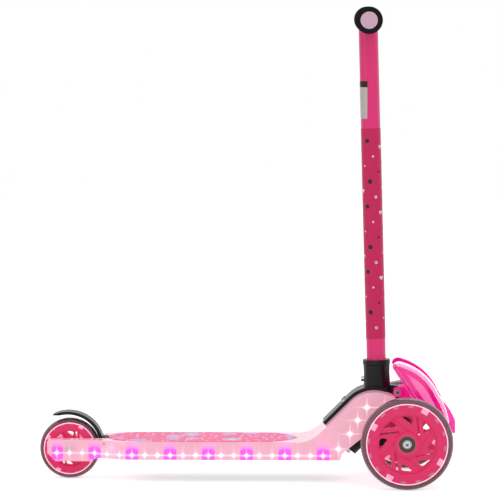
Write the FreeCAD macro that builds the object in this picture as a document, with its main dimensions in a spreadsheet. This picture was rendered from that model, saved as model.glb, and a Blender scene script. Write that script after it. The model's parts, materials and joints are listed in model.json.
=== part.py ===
"""Kick scooter with two lean-steered front wheels, one rear wheel and lights in the deck and wheels.

Millimetres. +X points forward, +Y to the rider's left and +Z up. The ground is Z = 0 and the origin
lies halfway between the rearmost and the foremost point.
"""

import FreeCAD
import Part

import math
import os
import re

import Sketcher

SIZES = [
    # overall
    ("wheelbase", "444"),
    ("track_width", "199"),
    ("front_wheel", "120"),
    ("rear_wheel", "80"),
    ("wheel_width", "24"),
    ("fairing_reach", "65"),
    ("bar_height", "606"),
    ("bar_length", "266"),
    # deck
    ("deck_width", "102"),
    ("deck_top", "54.5"),
    ("deck_bottom", "31"),
    ("shell_wall", "2.5"),
    ("plate_thick", "2.5"),
    ("fork_half_width", "31"),
    ("fork_gap_half", "15"),
    ("graphic_thick", "0.6"),
    ("deck_rear_lead", "39"),
    # swept-up nose
    ("crown_height", "120.5"),
    ("crown_radius", "43.5"),
    ("bend_radius", "40"),
    ("crown_setback", "41.5"),
    ("spine_thick", "4.5"),
    ("spine_half", "23"),
    # stem and bar
    ("stem_radius", "12.7"),
    ("stem_wall", "1.8"),
    ("stem_lean", "1.55"),
    ("stem_foot_setback", "37"),
    ("stem_foot_height", "96"),
    ("collar_radius", "17.6"),
    ("collar_top", "159"),
    ("bush_wall", "1.9"),
    ("wrap_bottom", "187"),
    ("wrap_top", "464"),
    ("wrap_thick", "0.3"),
    ("patch_bottom", "477"),
    ("patch_top", "526"),
    ("bar_radius", "11.1"),
    ("bar_wall", "1.6"),
    ("grip_radius", "16"),
    ("grip_flange", "17.5"),
    ("grip_inner_end", "24"),
    ("plug_radius", "11"),
    ("plug_thick", "1.8"),
    # lean-to-steer truck
    ("pivot_angle", "45"),
    ("pivot_setback", "54.5"),
    ("pivot_height", "63"),
    ("eye_radius", "13"),
    ("eye_half", "20"),
    ("lug_thick", "9"),
    ("kingpin_radius", "4"),
    ("beam_half", "8"),
    ("beam_half_length", "80"),
    ("wing_reach", "30"),
    # wheels and bearings
    ("bearing_radius", "11"),
    ("bearing_bore", "4"),
    ("bearing_width", "7"),
    ("hub_radius", "16"),
    ("web_thick", "9"),
    ("rim_band", "5"),
    ("slit_width", "2.2"),
    ("core_radius", "44"),
    ("band_radius", "54.5"),
    ("rear_hub_radius", "13.5"),
    ("rear_core_radius", "29"),
    ("rear_band_radius", "36"),
    ("bolt_head_radius", "5.5"),
    # brake
    ("brake_hinge_setback", "47"),
    ("brake_hinge_height", "50"),
    ("brake_gap", "5"),
    ("brake_thick", "3.6"),
    ("brake_half_width", "13"),
    # lights and battery
    ("led_pitch", "16.7"),
    ("led_height", "37"),
    ("cell_radius", "5.25"),
    ("cell_length", "44.5"),
    ("button_travel", "1.5"),
    ("snap_travel", "3"),
    ("snap_radius", "3.4"),
    # clearances
    ("gap", "0.35"),
    ("running_fit", "0.05"),
    # derived
    ("rear_x", "=(rear_wheel / 2 - wheelbase - fairing_reach) / 2"),
    ("front_x", "=rear_x + wheelbase"),
    ("front_radius", "=front_wheel / 2"),
    ("rear_radius", "=rear_wheel / 2"),
    ("half_deck", "=deck_width / 2"),
    ("half_bar", "=bar_length / 2"),
    ("half_wheel", "=wheel_width / 2"),
    ("half_track", "=track_width / 2"),
    ("crown_x", "=front_x - crown_setback"),
    ("crown_z", "=crown_height - crown_radius"),
    ("pivot_x", "=front_x - pivot_setback"),
    ("stem_foot_x", "=front_x - stem_foot_setback"),
    ("bar_lift", "=bar_height - stem_foot_height"),
    ("deck_start", "=rear_x + deck_rear_lead"),
]

doc = FreeCAD.newDocument("KickScooter")
sheet = doc.addObject("Spreadsheet::Sheet", "Sizes")
for row, (alias, text) in enumerate(SIZES, start=1):
    sheet.set(f"A{row}", alias)
    sheet.set(f"B{row}", text)
    sheet.setAlias(f"B{row}", alias)
doc.recompute()
NAMES = {alias for alias, _ in SIZES}
V = {alias: float(sheet.get(alias)) for alias in NAMES}
OUT = []


def formula(text):
    """The text as an expression that reads the sheet."""
    return re.sub(r"[a-z_]+", lambda m: "Sizes." + m[0] if m[0] in NAMES else m[0], str(text))


def num(text):
    """The value of an expression in sheet names."""
    return float(sheet.evalExpression(formula(text)))


def bind(obj, prop, text):
    obj.setExpression(prop, formula(text))


def keep(obj, label):
    """Names an object as a sub-part that is written out."""
    obj.Label = label
    OUT.append(obj)
    return obj


def place(obj, x="0", y="0", z="0", angle="0", axis=(0, 1, 0)):
    """Binds an object's position and its turn about a fixed axis."""
    turn = FreeCAD.Rotation(FreeCAD.Vector(*axis), num(angle))
    obj.Placement = FreeCAD.Placement(FreeCAD.Vector(num(x), num(y), num(z)), turn)
    for name, text in (("x", x), ("y", y), ("z", z)):
        bind(obj, "Placement.Base." + name, text)
    if angle != "0":
        bind(obj, "Placement.Rotation.Angle", angle)
    return obj


def body():
    return doc.addObject("PartDesign::Body", "Body")


def sketch(owner, role):
    made = owner.newObject("Sketcher::SketchObject", "Sketch")
    plane = next(f for f in owner.Origin.OriginFeatures if f.Role == role)
    made.AttachmentSupport = [(plane, "")]
    made.MapMode = "FlatFace"
    return made


def arc_between(start, end, radius):
    """The short arc between two points; a positive radius bulges to the left of travel."""
    chord = end - start
    half = chord.Length / 2
    sag_side = FreeCAD.Vector(-chord.y, chord.x, 0).normalize()
    rise = math.sqrt(max(radius * radius - half * half, 0))
    centre = (start + end) / 2 - sag_side * math.copysign(rise, radius)
    middle = centre + sag_side * math.copysign(abs(radius), radius)
    return Part.Arc(start, middle, end)


def loop(target, corners):
    """A closed outline. A corner is (x, y) or (x, y, radius of the arc that leaves it)."""
    count = len(corners)
    points = [FreeCAD.Vector(num(c[0]), num(c[1]), 0) for c in corners]
    ids = []
    for k, corner in enumerate(corners):
        start, end = points[k], points[(k + 1) % count]
        if len(corner) == 3:
            ids.append(target.addGeometry(arc_between(start, end, num(corner[2]))))
        else:
            ids.append(target.addGeometry(Part.LineSegment(start, end)))
    starts = []
    for k, item in enumerate(ids):
        first = target.getPoint(item, 1)
        starts.append(1 if (first - points[k]).Length < (first - points[(k + 1) % count]).Length else 2)
    for k, item in enumerate(ids):
        after = (k + 1) % count
        target.addConstraint(
            Sketcher.Constraint("Coincident", item, 3 - starts[k], ids[after], starts[after])
        )
        for kind, text in (("DistanceX", corners[k][0]), ("DistanceY", corners[k][1])):
            rule = target.addConstraint(Sketcher.Constraint(kind, -1, 1, item, starts[k], num(text)))
            bind(target, f"Constraints[{rule}]", text)
        if len(corners[k]) == 3:
            size = str(corners[k][2]).lstrip("-")
            rule = target.addConstraint(Sketcher.Constraint("Radius", item, num(size)))
            bind(target, f"Constraints[{rule}]", size)


def ring(target, x, y, radius):
    """A circle."""
    circle = Part.Circle(FreeCAD.Vector(num(x), num(y), 0), FreeCAD.Vector(0, 0, 1), num(radius))
    item = target.addGeometry(circle)
    for kind, text in (("DistanceX", x), ("DistanceY", y)):
        rule = target.addConstraint(Sketcher.Constraint(kind, -1, 1, item, 3, num(text)))
        bind(target, f"Constraints[{rule}]", text)
    rule = target.addConstraint(Sketcher.Constraint("Radius", item, num(radius)))
    bind(target, f"Constraints[{rule}]", radius)


def pad(owner, made, length):
    """A pad of the whole length centred on its sketch."""
    grown = owner.newObject("PartDesign::Pad", "Pad")
    grown.Profile = made
    grown.SideType = "Symmetric"
    bind(grown, "Length", length)
    doc.recompute()
    return grown


def cut(owner, made, length=None, one_way=False, reverse=False):
    """A pocket centred on its sketch, or to one side of it; through everything without a length."""
    taken = owner.newObject("PartDesign::Pocket", "Pocket")
    taken.Profile = made
    taken.SideType = "One side" if one_way else "Symmetric"
    taken.Reversed = reverse
    if length is None:
        taken.Type = "ThroughAll"
    else:
        bind(taken, "Length", length)
    doc.recompute()
    return taken


def turn(owner, made, axis="V_Axis"):
    """A full revolution of a sketch about one of its axes."""
    spun = owner.newObject("PartDesign::Revolution", "Revolution")
    spun.Profile = made
    spun.ReferenceAxis = (made, [axis])
    spun.Angle = 360
    doc.recompute()
    return spun


def turned(role, corners):
    """A body turned about the upright axis of its sketch: Y on the XY plane, Z on the XZ plane."""
    owner = body()
    made = sketch(owner, role)
    loop(made, corners)
    turn(owner, made)
    return owner


def slab(outline, length, holes=()):
    """A body of one outline on the XZ plane, padded to both sides, with round holes."""
    owner = body()
    made = sketch(owner, "XZ_Plane")
    loop(made, outline)
    for x, z, radius in holes:
        ring(made, x, z, radius)
    pad(owner, made, length)
    return owner


def spread(owner, feature, count):
    """Repeats a feature evenly about Y."""
    pattern = owner.newObject("PartDesign::PolarPattern", "PolarPattern")
    pattern.Originals = [feature]
    upright = next(f for f in owner.Origin.OriginFeatures if f.Role == "Y_Axis")
    pattern.Axis = (upright, [""])
    pattern.Angle = 360
    pattern.Occurrences = count
    owner.Tip = pattern
    doc.recompute()
    return pattern


def tube_ring(inner, outer, low, high):
    return [(inner, low), (outer, low), (outer, high), (inner, high)]


def rod(radius, length, x="0", y="0", z="0", angle="0", axis=(0, 1, 0)):
    """A cylinder that starts at its position and runs along its own Z."""
    made = doc.addObject("Part::Cylinder", "Cylinder")
    bind(made, "Radius", radius)
    bind(made, "Height", length)
    return place(made, x, y, z, angle, axis)


def cross_rod(radius, length, x, y, z):
    """A cylinder along Y, centred on its position."""
    return rod(radius, length, x, f"{y} + ({length}) / 2", z, "90", (1, 0, 0))


def block(low, high):
    """A box between two corners."""
    made = doc.addObject("Part::Box", "Box")
    for prop, k in (("Length", 0), ("Width", 1), ("Height", 2)):
        bind(made, prop, f"({high[k]}) - ({low[k]})")
    return place(made, *low)


def fuse(*shapes):
    made = doc.addObject("Part::MultiFuse", "Fuse")
    made.Shapes = list(shapes)
    doc.recompute()
    return made


def minus(base, *tools):
    for tool in tools:
        made = doc.addObject("Part::Cut", "Cut")
        made.Base = base
        made.Tool = tool
        base = made
    doc.recompute()
    return base


def group(*shapes):
    made = doc.addObject("Part::Compound", "Group")
    made.Links = list(shapes)
    doc.recompute()
    return made


def mirrored(shape):
    """The same shape on the other side of the XZ plane."""
    made = doc.addObject("Part::Mirroring", "Mirror")
    made.Source = shape
    made.Normal = FreeCAD.Vector(0, 1, 0)
    doc.recompute()
    return made


# ---------------------------------------------------------------- deck
bend_run = "bend_radius * 0.70711"
bend_rise = "bend_radius * 0.29289"
crown_step = "crown_radius * 0.70711"
# the 45 degree flank meets the crown, and the bend starts where that flank comes down to the deck
flank_top_x = f"crown_x - {crown_step}"
flank_top_z = f"crown_z + {crown_step}"
flank_foot_x = f"{flank_top_x} - ({flank_top_z} - deck_top - {bend_rise})"


def nose_path(grow):
    """The deck top from the nose's front over the crown and down to the flat deck, moved outward."""
    crown = f"(crown_radius + {grow})"
    bend = f"(bend_radius - {grow})"
    return [
        (f"crown_x + {crown} * 0.64279", f"crown_z + {crown} * 0.76604", f"-{crown}"),
        (f"crown_x - {crown} * 0.70711", f"crown_z + {crown} * 0.70711"),
        (
            f"{flank_foot_x} - {grow} * 0.70711",
            f"deck_top + {bend_rise} + {grow} * 0.70711",
            bend,
        ),
        (f"{flank_foot_x} - {bend_run}", f"deck_top + {grow}"),
    ]


deck_side = nose_path("0") + [
    ("rear_x - 24", "deck_top", "-4"),
    ("rear_x - 28", "deck_top - 4"),
    ("rear_x - 28", "deck_bottom + 6"),
    ("rear_x - 17", "deck_bottom - 5"),
    ("rear_x + 28", "deck_bottom - 5"),
    ("deck_start", "deck_bottom"),
    ("pivot_x - 32", "deck_bottom"),
    ("pivot_x - 29", "deck_bottom + 9"),
    ("pivot_x - 4", "deck_bottom + 29"),
]
deck = slab(deck_side, "deck_width")
# the plan narrows behind the standing area to two fork arms
plan = sketch(deck, "XY_Plane")
loop(plan, [("rear_x - 50", "fork_half_width"), ("deck_start - 8", "fork_half_width"),
            ("deck_start + 34", "half_deck"), ("deck_start + 34", "half_deck + 9"),
            ("rear_x - 50", "half_deck + 9")])
loop(plan, [("rear_x - 50", "-fork_half_width"), ("deck_start - 8", "-fork_half_width"),
            ("deck_start + 34", "-half_deck"), ("deck_start + 34", "-half_deck - 9"),
            ("rear_x - 50", "-half_deck - 9")])
cut(deck, plan)
slot = sketch(deck, "XY_Plane")
loop(slot, [("rear_x - 50", "-fork_gap_half"), ("rear_x + rear_radius + 6", "-fork_gap_half"),
            ("rear_x + rear_radius + 6", "fork_gap_half"), ("rear_x - 50", "fork_gap_half")])
cut(deck, slot)
# the hollow under the deck and the nose, open below and in front
hollow = sketch(deck, "XZ_Plane")
inner_nose = nose_path("(-shell_wall)")
loop(hollow, inner_nose + [
    ("deck_start + 38", "deck_top - shell_wall"),
    ("deck_start + 38", "deck_bottom - 9"),
    ("pivot_x", "deck_bottom - 9"),
    ("front_x + 30", "deck_bottom"),
])
cut(deck, hollow, "deck_width - 2 * shell_wall")
# the arms carry the rear axle, the brake pin and a shallow window in each side for the lights
axle_bore = cross_rod("bearing_bore + 0.1", "deck_width", "rear_x", "0", "rear_radius")
pin_bore = cross_rod("2.05", "deck_width", "rear_x + brake_hinge_setback", "0", "brake_hinge_height")
head_slot = block(("pivot_x - 14", "-8", "deck_top + 20"), ("crown_x + 30", "8", "crown_height + 9"))
HEAD_SCREWS = [(f"{flank_top_x} - 6", f"{flank_top_z} - 6", side) for side in (-16, 16)]
shell_holes = [rod("1.8", "24", f"{x} - 8", str(y), f"{z} + 8", "135") for x, z, y in HEAD_SCREWS]
collar_hole = place(turned("XZ_Plane", tube_ring("0", "collar_radius + 1.6", "0", "60")),
                    "stem_foot_x", "0", "stem_foot_height", "-stem_lean")
axle_seats = [cross_rod("6.6", "8", "rear_x", f"{side} * fork_half_width", "rear_radius") for side in (1, -1)]
brake_recess = block(("rear_x + brake_hinge_setback - 7", "-15", "deck_top - 12"),
                     ("rear_x + brake_hinge_setback + 8", "15", "deck_top + 9"))
wire_way = block(("deck_start + 30", "-6", "deck_bottom + 8"), ("deck_start + 40", "6", "deck_bottom + 14"))
shell = minus(deck, axle_bore, pin_bore, head_slot, brake_recess, wire_way, collar_hole,
              *shell_holes, *axle_seats)
# cross ribs under the standing area, tied into the walls, and posts for the cover's screws
ribs = [
    block((f"deck_start + {step}", "-half_deck + shell_wall - 0.5", "deck_top - shell_wall - 5"),
          (f"deck_start + {step} + 2.2", "half_deck - shell_wall + 0.5", "deck_top - shell_wall + 0.5"))
    for step in (62, 88, 114, 208, 234)
]
POSTS = [(x, y) for x in (52, 150, 250) for y in (-34, 34)]
posts = [
    rod("4.2", "deck_top - deck_bottom - plate_thick - shell_wall + 0.5", f"deck_start + {x}", str(y),
        "deck_bottom + plate_thick")
    for x, y in POSTS
]
pilots = [rod("1.6", "14", f"deck_start + {x}", str(y), "deck_bottom") for x, y in POSTS]
shell = minus(fuse(shell, *ribs, *posts), *pilots)
keep(shell, "deck_shell")

# the bottom cover sits inside the walls, with an opening for the battery door and one for the button
cover = block(("deck_start + 38.3", "-half_deck + shell_wall + 0.2", "deck_bottom"),
              ("pivot_x - 33", "half_deck - shell_wall - 0.2", "deck_bottom + plate_thick"))
door_low = ("deck_start + 128", "-23", "deck_bottom - 1")
door_high = ("deck_start + 182", "23", "deck_bottom + plate_thick + 1")
button_hole = rod("5 + gap", "9", "deck_start + 218", "0", "deck_bottom - 2")
cover_pilots = [rod("1.7", "9", f"deck_start + {x}", str(y), "deck_bottom - 2") for x, y in POSTS]
keep(minus(cover, block(door_low, door_high), button_hole, *cover_pilots), "deck_base_plate")
screws = []
for x, y in POSTS:
    head = rod("3.2", "1.6", f"deck_start + {x}", str(y), "deck_bottom - 1.6")
    shank = rod("1.55", "12", f"deck_start + {x}", str(y), "deck_bottom - 0.5")
    recess = block((f"deck_start + {x} - 1.6", f"{y} - 0.45", "deck_bottom - 2"),
                   (f"deck_start + {x} + 1.6", f"{y} + 0.45", "deck_bottom - 0.9"))
    screws.append(minus(fuse(head, shank), recess))
# printed sheet on the standing area, a rounded leaf
leaf = body()
leaf_plan = sketch(leaf, "XY_Plane")
loop(leaf_plan, [("deck_start + 12", "0", "-46"), ("deck_start + 44", "-half_deck + 8", "-1400"),
                 (f"{flank_foot_x} - {bend_run} - 34", "-half_deck + 8", "-70"),
                 (f"{flank_foot_x} - {bend_run} - 1", "0", "-70"),
                 (f"{flank_foot_x} - {bend_run} - 34", "half_deck - 8", "-1400"),
                 ("deck_start + 44", "half_deck - 8", "-46")])
pad(leaf, leaf_plan, "graphic_thick")
place(leaf, z="deck_top + graphic_thick / 2")
keep(leaf, "deck_graphic")

# ---------------------------------------------------------------- deck electronics
strip_side = "half_deck - shell_wall - 2.7"
strip_path = [("deck_start + 39", "led_height"), ("pivot_x - 50", "led_height"), ("pivot_x - 33", "46"),
              ("pivot_x - 18", "67"), ("pivot_x - 8", "85"), ("pivot_x + 3", "101"), ("pivot_x + 29", "101")]
strip_low = [(x, f"({z}) - 3") for x, z in strip_path]
strip_high = [(x, f"({z}) + 3") for x, z in reversed(strip_path)]
for point in range(2, 6):
    x, z = strip_path[point]
    strip_low[point] = (f"{x} + 2.6", f"({z}) - 1.6")
    strip_high[len(strip_path) - 1 - point] = (f"{x} - 2.6", f"({z}) + 1.6")
strip = slab(strip_low + strip_high, "1")
place(strip, y=f"-({strip_side})")
keep(group(strip, mirrored(strip)), "led_strips")
leds = {"leds_magenta": [], "leds_white": []}
lamps = [(f"deck_start + 46 + {k} * led_pitch", "led_height") for k in range(15)]
lamps += [("pivot_x - 34", "46"), ("pivot_x - 19", "66"), ("pivot_x - 9", "84"),
          ("pivot_x + 3", "101"), ("pivot_x + 26", "101")]
for k, (x, z) in enumerate(lamps):
    lamp = block((f"{x} - 2.5", f"-({strip_side}) - 1.9", f"{z} - 1.5"),
                 (f"{x} + 2.5", f"-({strip_side}) - 0.5", f"{z} + 1.5"))
    leds["leds_magenta" if k % 3 == 0 and k < 15 else "leds_white"] += [lamp, mirrored(lamp)]
for label, members in leds.items():
    keep(group(*members), label)
tray = block(("deck_start + 125", "-26", "deck_bottom + plate_thick"),
             ("deck_start + 185", "26", "deck_bottom + plate_thick + 15"))
room = block(("deck_start + 127", "-24.5", "deck_bottom"),
             ("deck_start + 183", "24.5", "deck_bottom + plate_thick + 13.5"))
boss = block(("deck_start + 174.5", "5.5", "deck_bottom + plate_thick"),
             ("deck_start + 184", "9.5", "deck_bottom + plate_thick + 14"))
boss_pilot = rod("1.6", "9", "deck_start + 177", "7.5", "deck_bottom")
keep(minus(fuse(minus(tray, room), boss), boss_pilot), "battery_box")
cells = []
for lane in (-15, 0, 15):
    can = rod("cell_radius", "cell_length", "deck_start + 155 - cell_length / 2", str(lane),
              "deck_bottom + plate_thick + 6.5", "90")
    nub = rod("1.9", "1", "deck_start + 155 + cell_length / 2", str(lane),
              "deck_bottom + plate_thick + 6.5", "90")
    cells.append(fuse(can, nub))
keep(group(*cells), "battery_cells")
springs = [
    block((x, f"{lane} - 3.5", "deck_bottom + plate_thick + 3"),
          (f"{x} + {thick}", f"{lane} + 3.5", "deck_bottom + plate_thick + 13.5"))
    for lane in (-15, 0, 15)
    for x, thick in (("deck_start + 127", "5.75"), ("deck_start + 156 + cell_length / 2", "4.75"))
]
keep(group(*springs), "battery_contacts")
door = block(("deck_start + 128.25", "-22.75", "deck_bottom"),
             ("deck_start + 181.75", "22.75", "deck_bottom + plate_thick"))
lip = block(("deck_start + 127.5", "-8", "deck_bottom + plate_thick"),
            ("deck_start + 130", "8", "deck_bottom + plate_thick + 1"))
door_screw_hole = rod("1.7", "9", "deck_start + 177", "7.5", "deck_bottom - 2")
keep(minus(fuse(door, lip), door_screw_hole), "battery_door")
screw_head = rod("3", "1.4", "deck_start + 177", "7.5", "deck_bottom - 1.4")
screw_body = rod("1.6", "6", "deck_start + 177", "7.5", "deck_bottom - 0.4")
cross_cut = block(("deck_start + 175.4", "7.1", "deck_bottom - 2"),
                  ("deck_start + 178.6", "7.9", "deck_bottom - 0.8"))
screws.append(minus(fuse(screw_head, screw_body), cross_cut))
keep(group(*screws), "cover_screws")
board = block(("deck_start + 198", "-20", "deck_bottom + 8.5"), ("deck_start + 232", "20", "deck_bottom + 10.1"))
switch = block(("deck_start + 214", "-3.5", "deck_bottom + 6.4"), ("deck_start + 222", "3.5", "deck_bottom + 8.5"))
chip = block(("deck_start + 202", "-6", "deck_bottom + 10.1"), ("deck_start + 210", "6", "deck_bottom + 11.7"))
legs = [
    block((f"deck_start + {x} - 3", f"{y} - 3", "deck_bottom + plate_thick"),
          (f"deck_start + {x} + 3", f"{y} + 3", "deck_bottom + 8.5"))
    for x in (201, 229) for y in (-17, 17)
]
keep(fuse(board, switch, chip, *legs), "control_board")
cap = rod("5", "4.5", "deck_start + 218", "0", "deck_bottom - 1.5")
flange = rod("7", "1", "deck_start + 218", "0", "deck_bottom + plate_thick + gap")
keep(fuse(cap, flange), "light_button")

# ---------------------------------------------------------------- steering head
STEM = {"x": "stem_foot_x", "z": "stem_foot_height", "angle": "-stem_lean"}


def along_stem(owner):
    return place(owner, **STEM)


spine_side = [
    ("crown_x + (crown_radius + spine_thick) * 0.34202", "crown_z + (crown_radius + spine_thick) * 0.93969",
     "-(crown_radius + spine_thick)"),
    (f"{flank_top_x} - spine_thick * 0.70711", f"{flank_top_z} + spine_thick * 0.70711"),
    (f"{flank_foot_x} + 8 - spine_thick * 0.70711", f"deck_top + {bend_rise} + 8 + spine_thick * 0.70711"),
    (f"{flank_foot_x} + 8", f"deck_top + {bend_rise} + 8"),
    (flank_top_x, flank_top_z, "crown_radius"),
    ("crown_x + crown_radius * 0.34202", "crown_z + crown_radius * 0.93969"),
]
spine = slab(spine_side, "2 * spine_half")
collar = along_stem(turned("XZ_Plane", [
    ("0", "6"), ("collar_radius", "6"), ("collar_radius", "16"), ("collar_radius + 1.5", "16"), ("collar_radius + 0.2", "27"), ("collar_radius - 0.6", "45"),
    ("collar_radius - 0.2", "collar_top - stem_foot_height - 7"),
    ("collar_radius + 0.4", "collar_top - stem_foot_height - 6"),
    ("collar_radius + 0.4", "collar_top - stem_foot_height"), ("0", "collar_top - stem_foot_height")]))
# down in the nose two lugs hold the kingpin; the rib above them joins the spine
u = ("pivot_x", "pivot_height")
step = "0.70711"


def at_pivot(along, up):
    """A point of the XZ plane given along the pivot axis and square to it."""
    return (f"pivot_x + ({along}) * {step} - ({up}) * {step}",
            f"pivot_height + ({along}) * {step} + ({up}) * {step}")


def pivot_rod(radius, low, high):
    x, z = at_pivot(low, "0")
    return rod(radius, f"({high}) - ({low})", x, "0", z, "90 - pivot_angle")


lug_near, lug_far = "eye_half + gap", "eye_half + gap + lug_thick"
lugs = [pivot_rod("eye_radius", lug_near, lug_far), pivot_rod("eye_radius", f"-({lug_far})", f"-({lug_near})")]
rib = slab([at_pivot(f"-({lug_far})", "4"), at_pivot(f"-({lug_far})", "24"),
            (f"{flank_top_x} + 8", f"{flank_top_z} - 3"),
            ("crown_x", "crown_height + 1"), ("crown_x + 20", "crown_height - 6"), at_pivot(lug_far, "13"),
            at_pivot(lug_far, "0"), at_pivot(lug_near, "0"), at_pivot(lug_near, "13"),
            at_pivot(f"-({lug_near})", "13"), at_pivot(f"-({lug_near})", "4")], "14")
seat = slab([at_pivot("-10", "eye_radius + 1.5"), at_pivot("10", "eye_radius + 1.5"),
             at_pivot("10", "eye_radius + 6"), at_pivot("-10", "eye_radius + 6")], "2 * wing_reach")
ear = slab([("crown_x + 14", "crown_height - 12"), ("crown_x + 36", "crown_height - 14", "-10"),
            ("crown_x + 40", "crown_height - 4", "-10"), ("crown_x + 31", "crown_height + 3.5"),
            ("crown_x + 14", "crown_height + 6")], "13")
socket = along_stem(turned("XZ_Plane", tube_ring("0", "stem_radius + bush_wall", "12", "90")))
head_pin_hole = pivot_rod("kingpin_radius + 0.05", f"-({lug_far}) - 5", f"({lug_far}) + 5")
eye_room = pivot_rod("eye_radius + gap + 0.3", f"-({lug_near})", lug_near)
ear_hole = cross_rod("2.1", "30", "crown_x + 31", "0", "crown_height - 4.5")
snap_hole = rod("snap_radius + gap", "30", "stem_foot_x - 32", "0", "stem_foot_height + 37", "90")
head_holes = [rod("1.8", "24", f"{x} - 8", str(y), f"{z} + 8", "135") for x, z, y in HEAD_SCREWS]
head = minus(fuse(spine, collar, *lugs, rib, seat, ear), socket, head_pin_hole, eye_room, ear_hole,
             snap_hole, *head_holes)
keep(head, "steering_head")
fasteners = []
for x, z, y in HEAD_SCREWS:
    head_top = "spine_thick * 1"
    button = rod("3.4", "1.8", f"{x} - ({head_top} + 1.8) * {step}", str(y),
                 f"{z} + ({head_top} + 1.8) * {step}", "135")
    shank = rod("1.75", "12", f"{x} - ({head_top} + 0.5) * {step}", str(y),
                f"{z} + ({head_top} + 0.5) * {step}", "135")
    fasteners.append(fuse(button, shank))
keep(group(*fasteners), "head_screws")
bush = along_stem(turned("XZ_Plane", tube_ring("stem_radius + running_fit", "stem_radius + bush_wall", "12",
                                               "collar_top - stem_foot_height - 0.5")))
keep(minus(bush, rod("snap_radius + gap", "30", "stem_foot_x - 32", "0", "stem_foot_height + 37", "90")),
     "collar_bush")

# ---------------------------------------------------------------- T-bar
tube = along_stem(turned("XZ_Plane", tube_ring("stem_radius - stem_wall", "stem_radius", "12", "bar_lift")))
bar_x = "stem_foot_x - bar_lift * sin(stem_lean)"
bar_z = "stem_foot_height + bar_lift * cos(stem_lean)"
saddle = cross_rod("bar_radius", "60", bar_x, "0", bar_z)
keep(minus(tube, saddle, rod("snap_radius + gap", "30", "stem_foot_x - 32", "0", "stem_foot_height + 37", "90")),
     "stem_tube")
bar = turned("XY_Plane", tube_ring("bar_radius - bar_wall", "bar_radius", "-half_bar + 4", "half_bar - 4"))
keep(place(bar, bar_x, "0", bar_z), "crossbar")
wrap = along_stem(turned("XZ_Plane", tube_ring("stem_radius + 0.03", "stem_radius + wrap_thick",
                                               "wrap_bottom - stem_foot_height", "wrap_top - stem_foot_height")))
keep(wrap, "stem_wrap")
patch = along_stem(turned("XZ_Plane", tube_ring("stem_radius + 0.03", "stem_radius + 0.25",
                                                "patch_bottom - stem_foot_height",
                                                "patch_top - stem_foot_height")))
rear_half = block(("stem_foot_x - 40", "-20", "patch_bottom - 9"), ("stem_foot_x - 14.5", "20", "patch_top + 9"))
window = doc.addObject("Part::Common", "Common")
window.Base = patch
window.Tool = rear_half
doc.recompute()
keep(window, "reflector_patch")
for side, name in ((1, "left"), (-1, "right")):
    grip = turned("XY_Plane", [
        ("bar_radius", f"{side} * grip_inner_end"), ("grip_flange", f"{side} * grip_inner_end"),
        ("grip_flange", f"{side} * (grip_inner_end + 3)"), ("grip_radius", f"{side} * (grip_inner_end + 5)"),
        ("grip_radius", f"{side} * (half_bar - 8)"), ("grip_flange", f"{side} * (half_bar - 5)"),
        ("grip_flange", f"{side} * (half_bar - plug_thick)"),
        ("bar_radius", f"{side} * (half_bar - plug_thick)")])
    keep(place(grip, bar_x, "0", bar_z), "grip_" + name)
plugs = []
for side in (1, -1):
    plug = turned("XY_Plane", [
        ("0", f"{side} * (half_bar - 18)"), ("bar_radius - bar_wall", f"{side} * (half_bar - 18)"),
        ("bar_radius - bar_wall", f"{side} * (half_bar - 4)"), ("plug_radius", f"{side} * (half_bar - 4)"),
        ("plug_radius", f"{side} * (half_bar - 0.5)"), ("plug_radius - 1", f"{side} * half_bar"),
        ("0", f"{side} * half_bar")])
    plugs.append(place(plug, bar_x, "0", bar_z))
keep(group(*plugs), "bar_plugs")
# snap button: head behind the tube wall, pressed out through the collar by a bent leaf
pin = rod("snap_radius", "12.6", "stem_foot_x - 21.9", "0", "stem_foot_height + 37", "90")
foot = rod("5.2", "1.4", "stem_foot_x - 9.3", "0", "stem_foot_height + 37", "90")
keep(fuse(pin, foot), "snap_button")
leaf_spring = slab([
    ("stem_foot_x - 7.9", "stem_foot_height + 32"), ("stem_foot_x - 7.3", "stem_foot_height + 32"),
    ("stem_foot_x - 7.3", "stem_foot_height + 42"), ("stem_foot_x - 0.3", "stem_foot_height + 60"),
    ("stem_foot_x + 8.4", "stem_foot_height + 44"), ("stem_foot_x + 8.4", "stem_foot_height + 32"),
    ("stem_foot_x + 9.4", "stem_foot_height + 32"), ("stem_foot_x + 9.2", "stem_foot_height + 44"),
    ("stem_foot_x - 0.3", "stem_foot_height + 61.2"), ("stem_foot_x - 7.9", "stem_foot_height + 42")], "6")
keep(leaf_spring, "snap_spring")

# ---------------------------------------------------------------- fairing
petal_out = [("front_x + fairing_reach - 7.5", "front_radius + 6", "-90"),
             ("front_x + fairing_reach - 22", "front_radius + 56", "-75"),
             ("front_x - 6", "front_radius + 98", "-9"),
             ("front_x - 18", "front_radius + 92"),
             ("front_x + 6", "front_radius + 55"), ("front_x + 24", "front_radius + 30", "120"),
             ("front_x + fairing_reach - 10", "front_radius + 5")]
left_lobe = keep(place(slab(petal_out, "20"), y="33"), "fairing_lobe_left")
keep(mirrored(left_lobe), "fairing_lobe_right")
knot_outer = [("front_x + fairing_reach", "front_radius + 4"),
              ("front_x + fairing_reach", "front_radius + 20", "-80"),
              ("front_x + fairing_reach - 20", "front_radius + 50", "-80"),
              ("front_x + 14", "front_radius + 76"), ("front_x + 3", "front_radius + 66"),
              ("front_x + 3", "front_radius + 40"), ("front_x + 36", "front_radius + 10"),
              ("front_x + fairing_reach - 12", "front_radius + 4")]
knot = slab(knot_outer, "46")
knot_room = slab([("front_x + fairing_reach - 10", "front_radius + 9", "-76"),
                  ("front_x + fairing_reach - 24", "front_radius + 47", "-76"),
                  ("front_x + 15", "front_radius + 70"), ("front_x + 7", "front_radius + 62"),
                  ("front_x + 7", "front_radius + 43"), ("front_x + 38", "front_radius + 14")], "40")
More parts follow.
